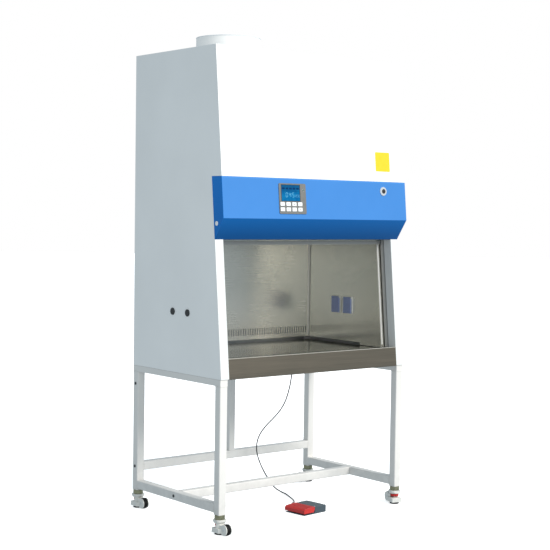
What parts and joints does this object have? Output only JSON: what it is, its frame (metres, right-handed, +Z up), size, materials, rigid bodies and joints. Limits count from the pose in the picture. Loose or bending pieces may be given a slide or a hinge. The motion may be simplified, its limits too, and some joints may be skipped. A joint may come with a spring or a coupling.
{
  "type": "biosafety cabinet",
  "caption": "Floor-standing biosafety cabinet with a leaning front, sliding glass sash, stainless work chamber, exhaust collar and tubular stand on levelling casters, with a corded foot switch.",
  "frame": {"origin": "on the floor, at the centre of the casing, which is the centre of the bounding box measured without the cord to within 4 mm", "axes": "+Z up, front of the cabinet towards -Y, +X to the right of a person standing in front of it"},
  "size_m": [1.1195, 0.751, 2.212],
  "materials": {
    "white_paint": "satin powder coat",
    "grey_paint": "satin powder coat",
    "blue_panel": "satin",
    "stainless": "brushed",
    "bright_steel": "satin",
    "aluminium": "anodised",
    "chrome": "polished",
    "black_plastic": "matte",
    "dark_grey_plastic": "matte",
    "panel_grey": "matte",
    "key_white": "matte",
    "display_blue": "gloss",
    "red_plastic": "matte",
    "white_plastic": "matte",
    "wheel_black": "matte",
    "cord_black": "matte",
    "safety_glass": "polished",
    "lamp_white": "gloss",
    "lid_blue": "gloss",
    "filter_media": "matte",
    "belt_black": "matte"
  },
  "bodies": {
    "cabinet": {"blanking_plugs": "black_plastic", "blower_housing": "aluminium", "chamber_liner": "stainless", "control_fascia": "blue_panel", "control_plate": "panel_grey", "cord_gland": "black_plastic", "diffuser_grille": "bright_steel", "display_window": "display_blue", "drain_pan": "grey_paint", "exhaust_collar": "white_paint", "foot_switch_base": "dark_grey_plastic", "foot_switch_cord": "cord_black", "front_cover": "white_paint", "front_pillars": "white_paint", "front_sill": "stainless", "hepa_filters": "filter_media", "key_switch_bezel": "chrome", "led_lamp": "lamp_white", "plenum_box": "grey_paint", "power_inlet": "black_plastic", "rear_panel": "white_paint", "sash_belts": "belt_black", "sash_guides": "aluminium", "side_panels": "white_paint", "socket_outlets": "white_plastic", "stand_cross_rails": "white_paint", "stand_side_frames": "white_paint", "top_panel": "white_paint", "uv_lamp": "lamp_white"},
    "key_1": {"key_1": "key_white"},
    "key_2": {"key_2": "key_white"},
    "key_3": {"key_3": "key_white"},
    "key_4": {"key_4": "key_white"},
    "key_5": {"key_5": "key_white"},
    "key_6": {"key_6": "key_white"},
    "key_7": {"key_7": "key_white"},
    "key_8": {"key_8": "key_white"},
    "caster_front_left_swivel": {"caster_front_left_housing": "white_plastic"},
    "caster_front_left_roller": {"caster_front_left_wheel": "wheel_black"},
    "caster_front_left_leveller": {"caster_front_left_leveller": "red_plastic"},
    "caster_front_right_swivel": {"caster_front_right_housing": "white_plastic"},
    "caster_front_right_roller": {"caster_front_right_wheel": "wheel_black"},
    "caster_front_right_leveller": {"caster_front_right_leveller": "red_plastic"},
    "caster_rear_left_swivel": {"caster_rear_left_housing": "white_plastic"},
    "caster_rear_left_roller": {"caster_rear_left_wheel": "wheel_black"},
    "caster_rear_left_leveller": {"caster_rear_left_leveller": "red_plastic"},
    "caster_rear_right_swivel": {"caster_rear_right_housing": "white_plastic"},
    "caster_rear_right_roller": {"caster_rear_right_wheel": "wheel_black"},
    "caster_rear_right_leveller": {"caster_rear_right_leveller": "red_plastic"},
    "key_switch_plug": {"key_switch_plug": "black_plastic"},
    "sash": {"sash_glass": "safety_glass", "sash_rails": "bright_steel"},
    "sash_lift_shaft": {"sash_lift_shaft": "bright_steel"},
    "sash_idler_shaft": {"sash_idler_shaft": "bright_steel"},
    "work_tray": {"work_tray": "stainless"},
    "front_grille": {"front_grille": "stainless"},
    "blower_impeller": {"blower_impeller": "aluminium"},
    "socket_cover_front": {"socket_cover_front": "lid_blue"},
    "socket_cover_rear": {"socket_cover_rear": "lid_blue"},
    "foot_pedal": {"foot_switch_pedal": "red_plastic"}
  },
  "joints": [
    {"name": "caster_front_left_turn", "type": "hinge", "parent": "cabinet", "child": "caster_front_left_swivel", "pos_m": [-0.53, -0.3025, 0.06], "axis": [0, 0, 1], "continuous": true},
    {"name": "caster_front_left_roll", "type": "hinge", "parent": "caster_front_left_swivel", "child": "caster_front_left_roller", "pos_m": [-0.53, -0.3505, 0.0265], "axis": [1, 0, 0], "continuous": true},
    {"name": "caster_front_left_level", "type": "slide", "parent": "caster_front_left_swivel", "child": "caster_front_left_leveller", "axis": [0, 0, 1], "range_m": [-0.004, 0.008]},
    {"name": "caster_front_right_turn", "type": "hinge", "parent": "cabinet", "child": "caster_front_right_swivel", "pos_m": [0.53, -0.3025, 0.06], "axis": [0, 0, 1], "continuous": true},
    {"name": "caster_front_right_roll", "type": "hinge", "parent": "caster_front_right_swivel", "child": "caster_front_right_roller", "pos_m": [0.54242, -0.25614, 0.0265], "axis": [-0.9659, 0.2588, 0], "continuous": true},
    {"name": "caster_front_right_level", "type": "slide", "parent": "caster_front_right_swivel", "child": "caster_front_right_leveller", "axis": [0, 0, 1], "range_m": [-0.004, 0.008]},
    {"name": "caster_rear_left_turn", "type": "hinge", "parent": "cabinet", "child": "caster_rear_left_swivel", "pos_m": [-0.53, 0.3495, 0.06], "axis": [0, 0, 1], "continuous": true},
    {"name": "caster_rear_left_roll", "type": "hinge", "parent": "caster_rear_left_swivel", "child": "caster_rear_left_roller", "pos_m": [-0.53, 0.3015, 0.0265], "axis": [1, 0, 0], "continuous": true},
    {"name": "caster_rear_left_level", "type": "slide", "parent": "caster_rear_left_swivel", "child": "caster_rear_left_leveller", "axis": [0, 0, 1], "range_m": [-0.004, 0.008]},
    {"name": "caster_rear_right_turn", "type": "hinge", "parent": "cabinet", "child": "caster_rear_right_swivel", "pos_m": [0.53, 0.3495, 0.06], "axis": [0, 0, 1], "continuous": true},
    {"name": "caster_rear_right_roll", "type": "hinge", "parent": "caster_rear_right_swivel", "child": "caster_rear_right_roller", "pos_m": [0.482, 0.3495, 0.0265], "axis": [0, -1, 0], "continuous": true},
    {"name": "caster_rear_right_level", "type": "slide", "parent": "caster_rear_right_swivel", "child": "caster_rear_right_leveller", "axis": [0, 0, 1], "range_m": [-0.004, 0.008]},
    {"name": "key_1_press", "type": "slide", "parent": "cabinet", "child": "key_1", "axis": [0, 0.9956, -0.0941], "range_m": [0, 0.001], "stiffness_N_per_m": 600, "springref_m": -0.0005},
    {"name": "key_2_press", "type": "slide", "parent": "cabinet", "child": "key_2", "axis": [0, 0.9956, -0.0941], "range_m": [0, 0.001], "stiffness_N_per_m": 600, "springref_m": -0.0005},
    {"name": "key_3_press", "type": "slide", "parent": "cabinet", "child": "key_3", "axis": [0, 0.9956, -0.0941], "range_m": [0, 0.001], "stiffness_N_per_m": 600, "springref_m": -0.0005},
    {"name": "key_4_press", "type": "slide", "parent": "cabinet", "child": "key_4", "axis": [0, 0.9956, -0.0941], "range_m": [0, 0.001], "stiffness_N_per_m": 600, "springref_m": -0.0005},
    {"name": "key_5_press", "type": "slide", "parent": "cabinet", "child": "key_5", "axis": [0, 0.9956, -0.0941], "range_m": [0, 0.001], "stiffness_N_per_m": 600, "springref_m": -0.0005},
    {"name": "key_6_press", "type": "slide", "parent": "cabinet", "child": "key_6", "axis": [0, 0.9956, -0.0941], "range_m": [0, 0.001], "stiffness_N_per_m": 600, "springref_m": -0.0005},
    {"name": "key_7_press", "type": "slide", "parent": "cabinet", "child": "key_7", "axis": [0, 0.9956, -0.0941], "range_m": [0, 0.001], "stiffness_N_per_m": 600, "springref_m": -0.0005},
    {"name": "key_8_press", "type": "slide", "parent": "cabinet", "child": "key_8", "axis": [0, 0.9956, -0.0941], "range_m": [0, 0.001], "stiffness_N_per_m": 600, "springref_m": -0.0005},
    {"name": "key_switch_turn", "type": "hinge", "parent": "cabinet", "child": "key_switch_plug", "pos_m": [0.403, -0.31765, 1.516], "axis": [0, -0.9956, 0.0941], "range_deg": [-90, 0]},
    {"name": "sash_slide", "type": "slide", "parent": "cabinet", "child": "sash", "axis": [0, -0.0941, -0.9956], "range_m": [0, 0.502]},
    {"name": "sash_lift_turn", "type": "hinge", "parent": "cabinet", "child": "sash_lift_shaft", "pos_m": [0, -0.18325, 1.88], "axis": [1, 0, 0], "range_deg": [-1910, 5]},
    {"name": "sash_idler_turn", "type": "hinge", "parent": "cabinet", "child": "sash_idler_shaft", "pos_m": [0, -0.23693, 1.312], "axis": [1, 0, 0], "range_deg": [-1910, 5]},
    {"name": "work_tray_lift", "type": "slide", "parent": "cabinet", "child": "work_tray", "axis": [0, 0, 1], "range_m": [0, 0.12]},
    {"name": "front_grille_lift", "type": "slide", "parent": "cabinet", "child": "front_grille", "axis": [0, 0, -1], "range_m": [-0.1, 0]},
    {"name": "blower_spin", "type": "hinge", "parent": "cabinet", "child": "blower_impeller", "pos_m": [0.2, 0.095, 1.88], "axis": [1, 0, 0], "continuous": true},
    {"name": "socket_cover_rear_flip", "type": "hinge", "parent": "cabinet", "child": "socket_cover_rear", "pos_m": [0.4605, 0.0745, 0.99], "axis": [0, 1, 0], "range_deg": [0, 100]},
    {"name": "socket_cover_front_flip", "type": "hinge", "parent": "cabinet", "child": "socket_cover_front", "pos_m": [0.4605, -0.013, 0.99], "axis": [0, 1, 0], "range_deg": [0, 100]},
    {"name": "foot_pedal_press", "type": "hinge", "parent": "cabinet", "child": "foot_pedal", "pos_m": [0.04705, -0.19344, 0.022], "axis": [-0.1045, 0.9945, 0], "range_deg": [-4, 0], "stiffness_Nm_per_rad": 3, "springref_deg": 5.73}
  ],
  "couplings": [
    {"joint": "sash_lift_turn", "follows": "sash_slide", "rad_per_m": -66.225},
    {"joint": "sash_idler_turn", "follows": "sash_slide", "rad_per_m": -66.225}
  ]
}
